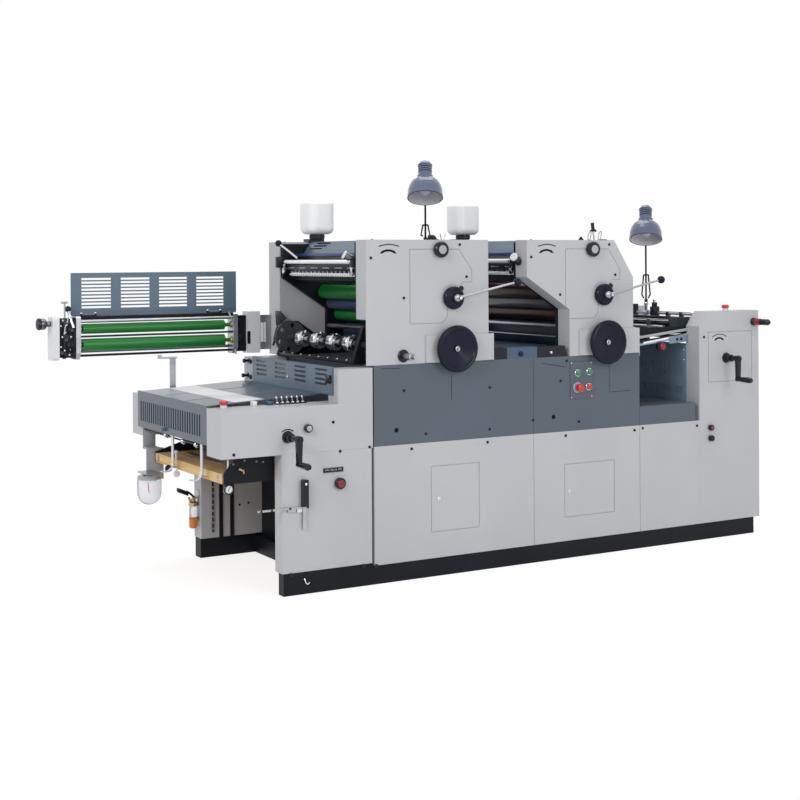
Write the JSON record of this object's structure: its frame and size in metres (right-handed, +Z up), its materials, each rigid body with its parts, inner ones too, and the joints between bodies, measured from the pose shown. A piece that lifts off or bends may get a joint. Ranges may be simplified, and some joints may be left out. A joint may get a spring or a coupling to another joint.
{
  "type": "offset printing press",
  "caption": "Two-unit offset printing press with delivery, feeder, numbering shaft, swung-out inking unit and lamps.",
  "frame": {"origin": "on the floor, on the underside of the bed, under the middle of the base", "axes": "+X from the delivery to the feeder, +Y from the operator's side to the drive side, +Z up"},
  "size_m": [3.684, 1.381, 2.0048],
  "materials": {
    "panel_grey": "satin",
    "band_grey": "satin",
    "cover_blue": "satin",
    "guard_teal": "satin",
    "black_paint": "satin",
    "bright_steel": "brushed",
    "black_plastic": "gloss",
    "clear_plastic": "gloss",
    "green_plastic": "gloss",
    "red_plastic": "gloss",
    "blanket_rubber": "matte",
    "roller_green": "matte",
    "roller_blue": "matte",
    "board_wood": "satin",
    "roller_brown": "matte",
    "lamp_grey": "gloss"
  },
  "bodies": {
    "press_body": {"base_frame": "black_paint", "delivery_cabinets": "panel_grey", "delivery_side_boxes": "panel_grey", "delivery_hood": "cover_blue", "delivery_guard": "cover_blue", "pile_guides": "black_paint", "unit_cabinets": "panel_grey", "unit_bands": "band_grey", "feeder_boxes": "panel_grey", "feeder_guard": "guard_teal", "feed_table": "black_paint", "unit_gap_deck": "cover_blue", "tower_covers": "panel_grey", "side_frames": "black_paint", "tower_bosses": "panel_grey", "ink_fountains": "black_paint", "fountain_covers": "cover_blue", "bright_bars": "bright_steel", "water_bottles": "clear_plastic", "lamp_clamps": "bright_steel", "control_plates": "band_grey", "green_buttons": "green_plastic", "red_buttons": "red_plastic", "black_fittings": "black_plastic", "oil_jar": "clear_plastic", "steel_brackets": "bright_steel"},
    "swing_unit": {"swing_unit_frame": "bright_steel", "swing_unit_gears": "black_paint", "swing_unit_end_covers": "panel_grey"},
    "swing_cover": {"swing_unit_cover": "cover_blue"},
    "form_roller": {"swing_form_roller": "roller_green"},
    "upper_roller": {"swing_upper_roller": "roller_green"},
    "handwheel_1": {"handwheel_1": "black_plastic"},
    "handwheel_2": {"handwheel_2": "black_plastic"},
    "impression_lever_1": {"impression_lever_1": "bright_steel", "impression_hub_1": "black_plastic"},
    "impression_lever_2": {"impression_lever_2": "bright_steel", "impression_hub_2": "black_plastic"},
    "plate_cylinder_1": {"plate_cylinder_1": "bright_steel"},
    "plate_cylinder_2": {"plate_cylinder_2": "bright_steel"},
    "blanket_cylinder_1": {"blanket_cylinder_1": "blanket_rubber"},
    "blanket_cylinder_2": {"blanket_cylinder_2": "blanket_rubber"},
    "upper_ink_roller_1": {"upper_ink_roller_1": "roller_green"},
    "upper_ink_roller_2": {"upper_ink_roller_2": "roller_brown"},
    "middle_ink_roller_1": {"middle_ink_roller_1": "roller_blue"},
    "middle_ink_roller_2": {"middle_ink_roller_2": "black_paint"},
    "lower_ink_roller_1": {"lower_ink_roller_1": "roller_green"},
    "lower_ink_roller_2": {"lower_ink_roller_2": "roller_brown"},
    "numbering_shaft": {"numbering_shaft": "bright_steel", "numbering_disc": "black_plastic"},
    "pile_board": {"pile_board": "board_wood"},
    "delivery_crank": {"delivery_crank": "black_plastic"},
    "feeder_crank": {"feeder_crank": "black_plastic"},
    "lamp_arm_1": {"lamp_arm_1": "black_paint"},
    "lamp_arm_2": {"lamp_arm_2": "black_paint"},
    "lamp_shade_1": {"lamp_shade_1": "lamp_grey"},
    "lamp_shade_2": {"lamp_shade_2": "lamp_grey"}
  },
  "joints": [
    {"name": "handwheel_1_turn", "type": "hinge", "parent": "press_body", "child": "handwheel_1", "pos_m": [-0.5215, -0.521, 1.08], "axis": [0, 1, 0], "continuous": true},
    {"name": "upper_ink_roller_1_turn", "type": "hinge", "parent": "press_body", "child": "upper_ink_roller_1", "pos_m": [-0.7505, 0, 1.34], "axis": [0, 1, 0], "continuous": true},
    {"name": "middle_ink_roller_1_turn", "type": "hinge", "parent": "press_body", "child": "middle_ink_roller_1", "pos_m": [-0.70362, 0, 1.2821], "axis": [0, 1, 0], "continuous": true},
    {"name": "lower_ink_roller_1_turn", "type": "hinge", "parent": "press_body", "child": "lower_ink_roller_1", "pos_m": [-0.65673, 0, 1.2242], "axis": [0, 1, 0], "continuous": true},
    {"name": "plate_cylinder_1_turn", "type": "hinge", "parent": "press_body", "child": "plate_cylinder_1", "pos_m": [-0.5515, 0, 1.298], "axis": [0, 1, 0], "continuous": true},
    {"name": "blanket_cylinder_1_turn", "type": "hinge", "parent": "press_body", "child": "blanket_cylinder_1", "pos_m": [-0.5515, 0, 1.121], "axis": [0, 1, 0], "continuous": true},
    {"name": "impression_lever_1_swing", "type": "hinge", "parent": "press_body", "child": "impression_lever_1", "pos_m": [-0.5215, -0.521, 1.322], "axis": [0, -1, 0], "range_deg": [-30, 8]},
    {"name": "handwheel_2_turn", "type": "hinge", "parent": "press_body", "child": "handwheel_2", "pos_m": [0.3865, -0.521, 1.08], "axis": [0, 1, 0], "continuous": true},
    {"name": "upper_ink_roller_2_turn", "type": "hinge", "parent": "press_body", "child": "upper_ink_roller_2", "pos_m": [0.1575, 0, 1.34], "axis": [0, 1, 0], "continuous": true},
    {"name": "middle_ink_roller_2_turn", "type": "hinge", "parent": "press_body", "child": "middle_ink_roller_2", "pos_m": [0.20438, 0, 1.2821], "axis": [0, 1, 0], "continuous": true},
    {"name": "lower_ink_roller_2_turn", "type": "hinge", "parent": "press_body", "child": "lower_ink_roller_2", "pos_m": [0.25127, 0, 1.2242], "axis": [0, 1, 0], "continuous": true},
    {"name": "plate_cylinder_2_turn", "type": "hinge", "parent": "press_body", "child": "plate_cylinder_2", "pos_m": [0.3565, 0, 1.298], "axis": [0, 1, 0], "continuous": true},
    {"name": "blanket_cylinder_2_turn", "type": "hinge", "parent": "press_body", "child": "blanket_cylinder_2", "pos_m": [0.3565, 0, 1.121], "axis": [0, 1, 0], "continuous": true},
    {"name": "impression_lever_2_swing", "type": "hinge", "parent": "press_body", "child": "impression_lever_2", "pos_m": [0.3865, -0.521, 1.322], "axis": [0, -1, 0], "range_deg": [-30, 8]},
    {"name": "numbering_shaft_turn", "type": "hinge", "parent": "press_body", "child": "numbering_shaft", "pos_m": [-0.9505, 0, 1.107], "axis": [0, 1, 0], "continuous": true},
    {"name": "swing_unit_close", "type": "hinge", "parent": "press_body", "child": "swing_unit", "pos_m": [-1.0425, 0.524, 1.13], "axis": [0, 0, 1], "range_deg": [0, 90]},
    {"name": "swing_cover_fold", "type": "hinge", "parent": "swing_unit", "child": "swing_cover", "pos_m": [-2.0355, 0.598, 1.241], "axis": [-1, 0, 0], "range_deg": [0, 90]},
    {"name": "form_roller_turn", "type": "hinge", "parent": "swing_unit", "child": "form_roller", "pos_m": [-1.6205, 0.554, 1.094], "axis": [1, 0, 0], "continuous": true},
    {"name": "upper_roller_turn", "type": "hinge", "parent": "swing_unit", "child": "upper_roller", "pos_m": [-1.6205, 0.554, 1.173], "axis": [1, 0, 0], "continuous": true},
    {"name": "pile_board_lift", "type": "slide", "parent": "press_body", "child": "pile_board", "axis": [0, 0, 1], "range_m": [-0.35, 0]},
    {"name": "delivery_crank_turn", "type": "hinge", "parent": "press_body", "child": "delivery_crank", "pos_m": [-1.3965, -0.521, 0.714], "axis": [0, 1, 0], "continuous": true},
    {"name": "feeder_crank_turn", "type": "hinge", "parent": "press_body", "child": "feeder_crank", "pos_m": [1.2265, -0.521, 0.965], "axis": [0, 1, 0], "continuous": true},
    {"name": "lamp_arm_1_tilt", "type": "hinge", "parent": "press_body", "child": "lamp_arm_1", "pos_m": [-0.3605, -0.01146, 1.613], "axis": [0.8554, -0.518, 0], "range_deg": [-20, 20]},
    {"name": "lamp_shade_1_tilt", "type": "hinge", "parent": "lamp_arm_1", "child": "lamp_shade_1", "pos_m": [-0.4237, -0.11582, 1.954], "axis": [0.8554, -0.518, 0], "range_deg": [-30, 20]},
    {"name": "lamp_arm_2_tilt", "type": "hinge", "parent": "press_body", "child": "lamp_arm_2", "pos_m": [1.0795, -0.03543, 1.266], "axis": [0.7672, -0.6414, 0], "range_deg": [-20, 20]},
    {"name": "lamp_shade_2_tilt", "type": "hinge", "parent": "lamp_arm_2", "child": "lamp_shade_2", "pos_m": [1.00124, -0.12902, 1.75], "axis": [0.7672, -0.6414, 0], "range_deg": [-30, 20]}
  ],
  "couplings": [
    {"joint": "handwheel_2_turn", "follows": "handwheel_1_turn", "ratio": 1},
    {"joint": "plate_cylinder_1_turn", "follows": "handwheel_1_turn", "ratio": -1},
    {"joint": "blanket_cylinder_1_turn", "follows": "handwheel_1_turn", "ratio": 1},
    {"joint": "upper_ink_roller_1_turn", "follows": "handwheel_1_turn", "ratio": 2.38},
    {"joint": "middle_ink_roller_1_turn", "follows": "handwheel_1_turn", "ratio": -2.38},
    {"joint": "lower_ink_roller_1_turn", "follows": "handwheel_1_turn", "ratio": 2.38},
    {"joint": "plate_cylinder_2_turn", "follows": "handwheel_1_turn", "ratio": -1},
    {"joint": "blanket_cylinder_2_turn", "follows": "handwheel_1_turn", "ratio": 1},
    {"joint": "upper_ink_roller_2_turn", "follows": "handwheel_1_turn", "ratio": 2.38},
    {"joint": "middle_ink_roller_2_turn", "follows": "handwheel_1_turn", "ratio": -2.38},
    {"joint": "lower_ink_roller_2_turn", "follows": "handwheel_1_turn", "ratio": 2.38},
    {"joint": "numbering_shaft_turn", "follows": "handwheel_1_turn", "ratio": 1},
    {"joint": "upper_roller_turn", "follows": "form_roller_turn", "ratio": -1.24}
  ]
}
